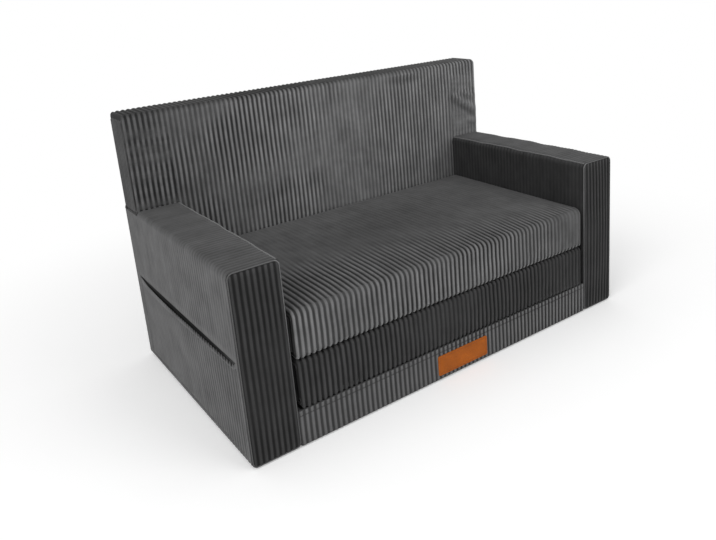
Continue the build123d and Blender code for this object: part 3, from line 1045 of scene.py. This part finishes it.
def creases(x, z):
    """How deep the back's creases are at each place, and how high the ridges beside them stand."""
    deep, high = np.zeros(z.shape), np.zeros(z.shape)
    for x_start, z_start, slope, reach, width, strength in back_creases:
        from_start = x_start - x
        across = (z - z_start - slope * from_start) / width
        faded = smooth(from_start, reach * crease_kept, reach)
        along = smooth(from_start, *crease_rise) * (1 - faded) * strength
        deep = deep + along * np.exp(-across ** 2)
        high = high + along * np.exp(-(across - crease_side) ** 2)
    return np.minimum(deep, 1), high


def back_shading(share, section, z):
    """The back is darker toward one end, with painted shade in its creases, painted light on the ridges
    beside them, and painted light on its top toward the other end.
    """
    deep, high = creases(back_low[0] + share * (back_high[0] - back_low[0]), z)
    tone_change = 1 - back_end_dark * np.clip(1 - share / back_end_dark_reach, 0, 1)
    top = 1 + back_top_light * smooth(share, *back_top_rise) * section.spread((0, 1, 0, 0)) ** 2
    return tone_change * top * (1 + section.flat_on(FRONT) * (ridge_light * high - crease_shadow * deep))


def back_worn(share, section):
    """The back's pile is rubbed flat low on its front and toward one end."""
    low = smooth(1 - section.shares, 0.35, 0.6)
    rubbed = back_rubbed * smooth(share, 0.2, 0.5) + back_rubbed_low * smooth(share, 0.6, 0.95) * low
    return rubbed * (section.sides == FRONT)


def back_folds(t, z, section):
    """How far the cloth of the back's front stands out or falls in at its creases."""
    deep, high = creases(back_low[0] + t, z)
    return (crease_ridge * high - crease_depth * deep) * section.flat_on(FRONT)


def make_back():
    """Back: a band over the front, top and rear, and a panel at each end."""
    tape, centre = zip_place("back")
    low = (back_face_y, back_low[2])
    high = (back_high[1] - back_crown, back_high[2])
    creased = [(FRONT, (low[0], z)) for limits in creased_heights for z in np.arange(*limits, creased_step)]
    section = Section(low, high, back_radii, row_step, keep=zip_edges(high[0], centre) + creased)
    block = Block(across_sofa, back_low[0], back_high[0] - back_low[0], section, back_end_round,
                  hole=zip_hole(tape, back_low[0], centre), top_corner=back_top_corner,
                  foot=(arm_high[0] - arm_low[0] - back_notch_clear, arm_top_level))
    shell = Shell()
    # Painted shade: the back's top is painted dark (0.12) and its end panels darker (0.48).
    rings = block.band(shell, (back_crown, 0, back_crown, 0), seed=3.1, ribbed=(1, 1, 1, 0),
                       lies=(1, 0.12, 1, 1), crush=0.6, shading=back_shading, worn=back_worn,
                       folds=back_folds)
    block.end_panels(shell, rings, ribbed=0.5, lie=0.48, crush=0.8)
    piece = shell.build("back_cover_velour")
    close_rim(piece, (0, -lip_depth, 0))
    place_cover(piece, back_velour, "frame", "back_cover")
    finish_zip("back", "frame", tape, centre, block)


# Cushions, base and strip


def seat_shading(share, section, _):
    """The seat's top is darker across its middle, and its front toward one end."""
    across, along = (np.exp(-((places - middle) / reach) ** 2) for places, (middle, reach)
                     in zip((share, section.shares), seat_dark_places))
    front = smooth(share, *seat_front_dark_rise) * (section.sides == FRONT)
    return 1 - seat_dark * (across * along) * (section.sides == TOP) - seat_front_dark * front


def lower_shading(share, section, _):
    """The lower cushion is darker toward one end."""
    return 1 - lower_dark * smooth(share, *lower_dark_rise) * np.ones(section.shares.shape)


def seat_worn(share, section):
    """The seat's pile is rubbed flat behind its front edge, more toward one end."""
    line = seat_rubbed_from - seat_rubbed_from * share
    top = smooth(section.shares, line - 0.12, line + 0.15) * (section.sides == TOP)
    return top + seat_end_rubbed * smooth(share, *seat_end_rise) * (section.sides == FRONT)


def make_cushion(name, crown, radii, finish, lies, crush, seed, shading, worn=None):
    """Cushion: a band from front to rear, closed by a panel with upright wales at each side."""
    box_low, box_high = node_box(name + "_cover")
    tape, centre = zip_place(name)
    low = (box_low[1], box_low[2])
    high = (box_high[1], box_high[2] - crown)
    section = Section(low, high, radii, row_step, keep=zip_edges(high[0], centre))
    rubbed = np.where(section.sides == TOP, cushion_rubbed + (1 - cushion_rubbed) * section.shares, 1)
    block = Block(across_sofa, box_low[0], box_high[0] - box_low[0], section, cushion_end_round,
                  draw=cushion_draw, hole=zip_hole(tape, box_low[0], centre))
    shell = Shell()
    rings = block.band(shell, (cushion_belly, crown, 0, 0), seed, lies=lies,
                       crush=section.spread(crush) * rubbed, shading=shading, worn=worn)
    block.end_panels(shell, rings, bulge=-end_bulge, lie=slot_lie)
    piece = shell.build(name + "_velour")
    close_rim(piece, (0, -lip_depth, 0))
    place_cover(piece, finish, name, name + "_cover")
    finish_zip(name, name, tape, centre, block)


def make_base():
    """Base cover under the seat."""
    low, high = (base_low[1], base_low[2]), (base_high[1] + base_clear, base_high[2])
    section = Section(low, high, base_radii, row_step)
    block = Block(across_sofa, base_low[0], base_high[0] - base_low[0], section, base_round)
    shell = Shell()
    rings = block.band(shell, (0, 0, 0, 0), seed=5.3, ribbed=(0, 1, 0, 0))
    block.end_panels(shell, rings, ribbed=0, sink=0)
    place_cover(shell.build("base_cover_velour"), base_velour, "frame", "base_cover")


def ribbed_pad(name, low, high, crown, edge, corner, crush, seed, seam=0, rim=0):
    """Thin ribbed panel that faces forward, its edge turned back, and perhaps a seam near its top; rim paints
    a highlight that fades down from its top edge.
    """
    across, rise = wales(high[0] - low[0])
    height = high[2] - low[2]
    edges = [edge * 0.3, edge, height - edge, height - edge * 0.3]
    seam_rows = [height - seam + place for place in pad_seam_rows] if seam else []
    rows = stations(0, height, row_step, keep=edges + seam_rows)
    shares = rows / height
    lean = sway(across, rows, seed) * np.clip(pad_sway_start * hump(shares), 0, 1)
    from_side = np.minimum(across, across[-1] - across)
    cut = rounded_cut(from_side, corner)
    z = low[2] + cut[:, None] + (height - 2 * cut)[:, None] * shares
    x = np.clip(low[0] + across[:, None] + lean, low[0], high[0])
    near = np.minimum(np.minimum(rows, height - rows), from_side[:, None])
    heights = rise[:, None] * np.clip(near / edge, 0, 1)
    if seam:
        sunk = np.exp(-((rows - height + seam) / pad_seam_width) ** 2)
        heights = heights * (1 - pad_seam_depth * sunk)
    flat = crushed(across, rows, crush, seed)
    y = low[1] + crown - crown * hump(across / across[-1])[:, None] * hump(shares)
    y = y + rounded_cut(near, edge) * edge_ease + (1 - heights) * wale_depth * (1 - pad_crush_depth * flat)
    grid = points_grid(x, np.minimum(y, high[1] - pad_clear), z)
    shell = Shell()
    # Painted highlight along the top edge, fading downward.
    lie = 1 + rim * np.exp(-(height - rows) / pad_highlight_reach)
    index = shell.add_grid(grid, across, rows, heights, lie=lie, crush=flat)
    back = grid.copy()
    back[..., 1] = high[1]
    behind = shell.add_grid(back[[0, -1]][:, [0, -1]], (0, 1), (0, 1), 0.0, flip=True)
    far = [behind[0, 0], behind[1, 0], behind[1, 1], behind[0, 1]]
    middle = np.array([(low[0] + high[0]) / 2, (low[2] + high[2]) / 2])
    scale = np.array([(high[0] - low[0]) / 2, height / 2])
    shell.stitch(far, rim_loop(index), middle, scale, [0, 2], flip=True)
    return shell.build(name)


def make_strip():
    """Strip sewn in flush between the arm fronts."""
    top = strip_high + np.array((0, 0, strip_reach))
    strip = ribbed_pad("front_strip_velour", strip_low, top, 0, strip_edge, strip_edge,
                       crush=0.3, seed=8.8, seam=strip_seam)
    place_cover(strip, strip_velour, "frame", "base_front_strip")


# Pockets


def hem_lift(share):
    """How far the hem is pulled up along the pocket, which gapes toward its rear."""
    gape = np.exp(-((share - hem_sag_place) / hem_sag_reach) ** 2)
    shut = hem_close * smooth(share, *hem_close_rear) + hem_close * (1 - smooth(share, *hem_close_front))
    return hem_pull - (hem_pull + hem_sag) * gape + shut


def gathering(share):
    """How tightly the elastic gathers the cloth along the pocket, from the front to the rear."""
    return np.clip(gather_front - share * gather_fall, gather_least, 1) * np.clip(share / gather_start, 0, 1)


def puckers(share, pleats):
    """How deep the gathered cloth is folded in along the hem: 0 on a fold, down to -1 between two."""
    between = (0.5 + 0.5 * np.cos(2 * math.pi * share * pleats)) ** 0.5
    first, second = (np.sin(share * rate) for rate in pucker_rates)
    return -gathering(share) * between * (1 - pucker_uneven + pucker_uneven * first * second)


def along_pocket():
    """Along the pocket: shares, places, the panel's bulge, the pinch near its front, and its gathers."""
    length = panel_high[1] - panel_low[1]
    pleats = int(length / wale_pitch)
    share = np.linspace(0, 1, pleats * gather_points + 1)
    across = panel_low[1] + share * length
    bulge = (panel_high[0] - arm_high[0]) * hump(share)
    pinch = np.exp(-((across - across[0] - pinch_place) / pinch_width) ** 2)
    return share, across, bulge, pinch, pleats


def pocket_panel(side):
    """Outer panel of the pocket, with the elastic's gathers running down into it."""
    share, across, bulge, pinch, pleats = along_pocket()
    rise = np.abs(np.sin(math.pi * share * pleats)) ** wale_roundness
    height = hem_low[2] - panel_low[2]
    rows = stations(0, 1, pocket_row_step, keep=pocket_rows)
    to_hem = (1 - rows) * height
    fade = pocket_fade + pocket_fade_gathered * gathering(share)[:, None]
    pleated = np.exp(-(to_hem / fade) ** 1.5)
    bulge = bulge[:, None] * np.sin(rows * math.pi / 2) ** 2
    z = panel_low[2] + rows * (height + hem_lift(share)[:, None])
    from_end = np.minimum(share, 1 - share) * (across[-1] - across[0])
    near = np.minimum(from_end[:, None], rows * height)
    worn = smooth(share, *pocket_worn_rise)[:, None] * pocket_worn
    flat = 1 - (1 - crushed(across - across[0], rows * height, amount=0.5, seed=-1.7)) * (1 - worn)
    pucker = puckers(share, pleats)[:, None] * pleated
    pinch = pinch[:, None] * np.exp(-to_hem / pinch_fade)
    groove = (1 - rise)[:, None] * (1 - pleated)
    x = arm_high[0] + bulge - rounded_cut(near, pocket_edge) * edge_ease
    x = x + hem_fold * pucker - pinch_depth * pinch
    x = x - groove * wale_depth * arm_wale_share * (1 - pocket_crush_depth * flat)
    grid = points_grid(x, across[:, None], z)
    dim = pocket_front_shadow * (1 - smooth(share, *pocket_front_rise))
    tone = (1 + pucker_shadow * pucker) * (1 - pinch_shadow * pinch) * (1 - dim)[:, None]
    inner = grid[:, ::-1].copy()
    inner[..., 0] = arm_high[0] - cloth + bulge[:, ::-1]
    return two_layers(side + "_pocket_panel_velour", grid, inner, across, rows * height, inner_rise=0.0,
                      rise=1 - groove, lie=tone, crush=flat)


def pocket_hem(side):
    """Hem with the elastic in it: a flat tube puckered along the pocket's mouth."""
    share, across, bulge, pinch, pleats = along_pocket()
    pucker = puckers(share, pleats)
    out, up, in_front = np.array(hem_section).T
    middle = (hem_low[2] + hem_high[2]) / 2 + hem_lift(share)
    half = (hem_high[2] - hem_low[2]) / 2
    folded = (hem_fold * pucker - pinch_depth * pinch)[:, None] * in_front
    x = (arm_high[0] + bulge)[:, None] + MM * out + folded
    z = middle[:, None] + half * up + hem_notch * pucker[:, None] * np.maximum(up + 1, 0) / 2
    shell = Shell()
    tone = 1 + hem_shadow * pucker[:, None] * in_front * smooth(up, *hem_shadow_rows)
    tone = tone - hem_back_shadow * (out < -1)
    index = shell.add_grid(points_grid(x, across[:, None], z), across, (out + 5 * up) * MM,
                           closed=True, flip=True, lie=tone)
    shell.cap(index[0])
    shell.cap(index[-1][::-1])
    return shell.build(side + "_pocket_hem")


def pocket_back(side):
    """Lining at the back of the pocket, sunk into the arm in its middle and turned out over its mouth."""
    face = arm_high[0] - cloth
    y = stations(lining_low[1], lining_high[1], lining_step)
    z = stations(lining_low[2], hem_high[2] + pocket_mouth + lining_over, lining_step)
    far = np.hypot(y[:, None] - (panel_low[1] + panel_high[1]) / 2, z - hem_high[2]) / lining_reach
    x = face - lining_clear - lining_sink * np.clip(1 - far**2, 0, 1)
    x = np.concatenate([x, np.full((len(y), 1), face)], axis=1)
    rows = np.append(z, z[-1] + lining_sink)
    grid = points_grid(x, y[:, None], np.append(z, z[-1]))
    behind = grid[:, ::-1].copy()
    behind[:, 1:, 0] -= lining_thick
    behind[:, :2, 2] += lining_fold
    return two_layers(side + "_pocket_lining_cloth", grid, behind, y, rows)


def make_pocket(side):
    """Pocket: an outer panel gathered into an elastic hem, and a lining sunk behind it."""
    panel, hem, lining = (sided(made(side), side) for made in (pocket_panel, pocket_hem, pocket_back))
    place_cover(panel, pocket_velour, "frame", side + "_pocket_panel")
    place_cover(hem, pocket_velour, "frame", side + "_pocket_elastic")
    place_piece(lining, pocket_cloth, "frame")
    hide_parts(side + "_pocket_lining")


# Arms


def arm_rise(share):
    """Rise of the arm's top from the back's front face, at 0, to the arm's front, at 1."""
    ripples = sum(weight * np.sin(share * rate + phase) for rate, phase, weight in arm_ripples)
    return arm_slope * share + (arm_bow + arm_ripple * ripples) * hump(share)


def arm_top_level(from_outside):
    """Height of the arm's top at a distance from its outer side."""
    side = np.minimum(from_outside, arm_high[0] - arm_low[0] - from_outside)
    return arm_top + back_clear - rounded_cut(np.maximum(side, 0), arm_edge)


def arm_worn(share, section):
    """The arm's pile is rubbed flat on its top and outer side, except near the front."""
    top = smooth(1 - share, 0.12, 0.45) * (section.sides == TOP)
    side = smooth(1 - share, 0.3, 0.7) * (section.sides == REAR)
    return arm_rubbed_top * top + arm_rubbed_side * side


def arm_welts(side):
    """Welts round the arm's front panel and along the inner edge of its top."""
    shell = Shell()
    low = (arm_front_low[0] + front_welt_inset, arm_front_low[2] + front_welt_inset)
    high = (arm_front_high[0] - front_welt_inset, arm_top + arm_slope - welt_radius)
    radii = (front_welt_foot, arm_front_corner, arm_front_corner, front_welt_foot)
    section = Section(low, high, radii, welt_stitch)
    x, z = section.points.T
    # The front welt is painted a little darker, with a painted highlight on the upper part of its inner side;
    # the top welt is painted lighter as a highlight.
    tone_change = smooth(z, *front_welt_heights) * (section.sides == FRONT)
    ring = points_grid(x, arm_low[1] - front_welt_proud, z)
    tube(shell, ring, welt_radius, (0, -1, 0), lie=front_welt_lie + front_welt_highlight * tone_change)
    runs = np.arange(arm_low[1], back_face_y, top_welt_step)
    out = np.array((-math.cos(top_welt_turn), 0, math.sin(top_welt_turn)))
    middle = np.array((arm_low[0] + arm_edge, 0, arm_top - arm_edge)) + arm_edge * out
    rise = arm_rise((back_face_y - runs) / (back_face_y - arm_low[1])) * out[2]
    path = points_grid(middle[0], runs, middle[2] + rise)
    tube(shell, path, top_welt_radius, out, closed=False, lie=top_welt_lie)
    place_piece(sided(shell.build(side + "_arm_welts"), side), welt_velour, "frame")


def make_arm(side):
    """Arm: a sleeve with a pocket window in its outer side, and a front panel with a welt."""
    window = (panel_low[2], hem_high[2] + pocket_mouth)
    section = Section((arm_low[0], arm_low[2]), (arm_high[0], arm_top),
                      (arm_foot_radius, arm_edge, arm_edge, arm_edge), row_step,
                      keep=[(REAR, (arm_high[0], level)) for level in window])
    hole = {"across": window, "run": (arm_high[1] - panel_high[1], arm_high[1] - panel_low[1]),
            "flat": arm_window_flat}
    block = Block(along_arm, arm_high[1], arm_high[1] - arm_low[1], section, (arm_rear_round, arm_end_round),
                  hole=hole, pressed=arm_high[1] - back_face_y, foot_corner=arm_foot_corner)
    shell = Shell()
    # Painted shade by side: the arm's inner side is painted dark (0.28), its top darker (0.5), and its rear
    # end panel a little darker (0.9).
    first, last = block.band(shell, (0, arm_crown, 0, 0), seed=7.7, ribbed=(arm_wale_share,) * 4,
                             lies=(0.28, 0.5, 1, 1), crush=0.6, worn=arm_worn, bow=arm_rise)
    block.end_panel(shell, first, False, ribbed=0.5, lie=0.9, crush=0.5)
    block.end_panel(shell, last, True, ribbed=0, sink=0)
    sleeve = shell.build(side + "_arm_velour")
    close_rim(sleeve, (-lip_depth, 0, 0))
    front_top = np.array((*arm_front_high[:2], arm_top + arm_slope))
    front = ribbed_pad(side + "_arm_front_velour", arm_front_low, front_top, arm_front_crown,
                       arm_front_edge, arm_front_corner, crush=0.5, seed=2.2, rim=0.7)
    place_cover(sided(sleeve, side), arm_velour, "frame", side + "_arm_cover")
    place_cover(sided(front, side), arm_front_velour, "frame", side + "_arm_front")
    arm_welts(side)
    make_pocket(side)


# Patch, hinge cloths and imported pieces


def make_patch():
    """Patch on the front strip, with a stitched border."""
    low = np.array((patch_low[0], patch_low[2]))
    high = np.array((patch_high[0], patch_high[2]))
    height = high[1] - low[1]
    x = stations(low[0], high[0], patch_step, keep=(low[0] + patch_edge, high[0] - patch_edge))
    shares = stations(0, 1, patch_row_step, keep=patch_rows)
    from_side = np.minimum(x - low[0], high[0] - x)
    cut = rounded_cut(from_side, patch_corner)
    z = low[1] + cut[:, None] + (height - 2 * cut)[:, None] * shares
    near = np.minimum(from_side[:, None], np.minimum(shares, 1 - shares) * height)
    dent = patch_dent * np.exp(-((near - patch_stitch_inset) / patch_dent_width) ** 2)
    y = patch_low[1] + rounded_cut(near, patch_edge) * patch_edge_ease + dent
    grid = points_grid(x[:, None], y, z)
    back = grid[:, ::-1].copy()
    back[..., 1] = patch_high[1] + patch_sunk
    piece = two_layers("front_patch_felt", grid, back, x, shares)
    place_piece(piece, patch_finish, "frame")
    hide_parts("front_patch")
    border = Section(low + patch_stitch_inset, high - patch_stitch_inset,
                     (patch_stitch_corner,) * 4, outline_step)
    outline = points_grid(border.points[:, 0], patch_low[1] + patch_thread_sunk, border.points[:, 1])
    thread = stitched("front_patch_stitches", outline, patch_stitch_length, patch_stitch_gap, 1)
    place_piece(thread, thread_finish, "frame")


def hinge_cloth_piece(name, way):
    """Cloth folded double between two blocks, with its fold along the hinge; way is the fold's, along Y."""
    low, high = node_box(name)
    tip_y, inner_y = (box[1] + way * hinge_out for box in ((high, low) if way > 0 else (low, high)))
    gap_low, gap_high = low[2] + hinge_clear[0], high[2] - hinge_clear[1]
    mid = (gap_low + gap_high) / 2
    lower = [(inner_y + (tip_y - inner_y) * k / hinge_steps,
              gap_low + (mid - hinge_bend - gap_low) * k / hinge_steps) for k in range(hinge_steps)]
    bend = [(tip_y + way * hinge_bend * math.cos(a), mid + hinge_bend * math.sin(a))
            for a in np.linspace(-math.pi / 2, math.pi / 2, hinge_bend_points)]
    upper = [(y, 2 * mid - z) for y, z in lower[::-1]]
    middle = np.array(lower + bend + upper)
    tangent = np.gradient(middle, axis=0)
    tangent /= np.linalg.norm(tangent, axis=1, keepdims=True)
    out = np.stack([tangent[:, 1], -tangent[:, 0]], axis=1)
    x = stations(low[0], high[0], form_step)
    shell = Shell()
    for side in (1, -1):
        y, z = (middle + side * out * hinge_thick / 2).T
        shell.add_grid(points_grid(x[:, None], y, z), x, np.arange(len(y)) * MM, flip=side < 0)
    piece = shell.build(name + "_weave")
    close_rim(piece)
    piece.data.materials.append(hinge_finish)
    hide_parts(name)
    return piece, mid - hinge_bend, mid + hinge_bend


def make_hinges():
    """Front hinge from the base to the lower cushion, rear hinge between the cushions."""
    piece, bottom, top = hinge_cloth_piece("front_hinge_cloth", -1)
    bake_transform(piece)
    piece, bottom, top = hinge_cloth_piece("rear_hinge_cloth", 1)
    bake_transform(piece)


def dress_nodes():
    """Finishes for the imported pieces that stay: foam, zips and the floor sheet."""
    finishes = {"foam": foam_finish, "zip_tape": tape_finish, "zip_slider": metal_finish,
                "floor_sheet": floor_finish}
    for name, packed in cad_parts.items():
        for ending, finish in finishes.items():
            if name.endswith(ending):
                packed.data.materials.clear()
                packed.data.materials.append(finish)


make_back()
make_base()
# Painted light and shade by side: the lower cushion's top is painted lighter (1.2) as a highlight along its
# top edge, and the seat's top is painted darker (0.72).
make_cushion("lower_cushion", 0, lower_radii, lower_velour, lies=(1, 1.2, 1, 1),
             crush=(0.5, 0.3, 0.3, 0.3), seed=1.3, shading=lower_shading)
make_cushion("seat_cushion", seat_crown, seat_radii, seat_velour, lies=(1, 0.72, 1, 1),
             crush=(0.3, 0.6, 0.3, 0), seed=4.9, shading=seat_shading, worn=seat_worn)
make_strip()
make_arm("right")
make_arm("left")
make_patch()
make_hinges()
dress_nodes()

# Room, light and camera
floor_size = 14.0
paper_level = 0.8
paper_seen = 0.95
paper_glow = 0.2
paper_reach = (0.55, 1.3)
world_light = 0.5
view_width = 716
view_focus = 723.5
view_shift = (-60, -100)
view_place = (-0.808, -1.245, 0.764)
view_yaw, view_pitch, view_roll = -0.636, 0.268, 0.065


def seen_directly(tree):
    """1 where the camera, a reflection or glass sees the surface, and 0 where it only gives light."""
    path = node(tree, "ShaderNodeLightPath")
    seen = joined(tree, "MAXIMUM", path.outputs["Is Camera Ray"], path.outputs["Is Glossy Ray"])
    return joined(tree, "MAXIMUM", seen, path.outputs["Is Transmission Ray"])


def make_floor():
    """Pale seamless floor: paper that keeps the sofa's shadow, and plain white further off."""
    mesh = bpy.data.meshes.new("studio_floor")
    corners = [(x * floor_size, y * floor_size, 0) for x, y in ((-1, -1), (1, -1), (1, 1), (-1, 1))]
    mesh.from_pydata(corners, [], [(0, 1, 2, 3)])
    floor = bpy.data.objects.new("studio_floor", mesh)
    bpy.context.scene.collection.objects.link(floor)
    made, shader = material("studio_floor_paper")
    tree = made.node_tree
    shader.inputs["Roughness"].default_value = 0.9
    shader.inputs["Emission Color"].default_value = (1, 1, 1, 1)
    place = node(tree, "ShaderNodeNewGeometry").outputs["Position"]
    distance = node(tree, "ShaderNodeVectorMath", operation="LENGTH")
    white = node(tree, "ShaderNodeEmission", in_Strength=1.0)
    mix = node(tree, "ShaderNodeMixShader")
    output = next(n for n in tree.nodes if n.type == "OUTPUT_MATERIAL")
    link = tree.links.new
    link(place, distance.inputs[0])
    seen = seen_directly(tree)
    link(ranged(tree, seen, 0.0, 1.0, paper_level, paper_seen), shader.inputs["Base Color"])
    link(times(tree, seen, paper_glow), shader.inputs["Emission Strength"])
    far = ranged(tree, distance.outputs["Value"], *paper_reach, 0.0, 1.0, smooth=True)
    link(times(tree, seen, far), mix.inputs["Fac"])
    link(shader.outputs["BSDF"], mix.inputs[1])
    link(white.outputs["Emission"], mix.inputs[2])
    link(mix.outputs["Shader"], output.inputs["Surface"])
    mesh.materials.append(made)


def make_lamp(name, place, target, size, power):
    """Large soft lamp."""
    data = bpy.data.lights.new(name, "AREA")
    data.size = size
    data.energy = power
    lamp = bpy.data.objects.new(name, data)
    lamp.location = place
    lamp.rotation_euler = (Vector(target) - Vector(place)).to_track_quat("-Z", "Y").to_euler()
    bpy.context.scene.collection.objects.link(lamp)


def make_world():
    """Even surroundings that look white and light the sofa softly."""
    world = bpy.data.worlds.new("studio")
    world.use_nodes = True
    tree = world.node_tree
    background = tree.nodes["Background"]
    background.inputs["Color"].default_value = (1, 1, 1, 1)
    strength = ranged(tree, seen_directly(tree), 0.0, 1.0, world_light, 1.0)
    tree.links.new(strength, background.inputs["Strength"])
    bpy.context.scene.world = world


def make_camera():
    """Camera at the photograph's lower view, three quarters from the left."""
    data = bpy.data.cameras.new("camera")
    data.sensor_width = 36
    data.lens = view_focus / view_width * data.sensor_width
    data.shift_x, data.shift_y = (pixels / view_width for pixels in view_shift)
    camera = bpy.data.objects.new("camera", data)
    camera.location = view_place
    turns = ((0, 0, view_yaw), (-view_pitch, 0, 0), (0, view_roll, 0), (math.pi / 2, 0, 0))
    yaw, pitch, roll, stand = (Euler(turn).to_matrix() for turn in turns)
    camera.rotation_euler = (yaw @ pitch @ roll @ stand).to_euler()
    bpy.context.scene.collection.objects.link(camera)
    bpy.context.scene.camera = camera


make_floor()
make_world()
make_lamp("key_lamp", (-2.4, -1.2, 2.4), (0, 0, 0.25), size=1.6, power=36)
make_lamp("fill_lamp", (1.2, -2.8, 1.4), (0, 0, 0.25), size=2.0, power=30)
make_lamp("top_lamp", (0.0, 0.2, 3.0), (0, 0, 0.2), size=2.2, power=8)
make_camera()
bpy.context.scene.view_settings.view_transform = "Standard"
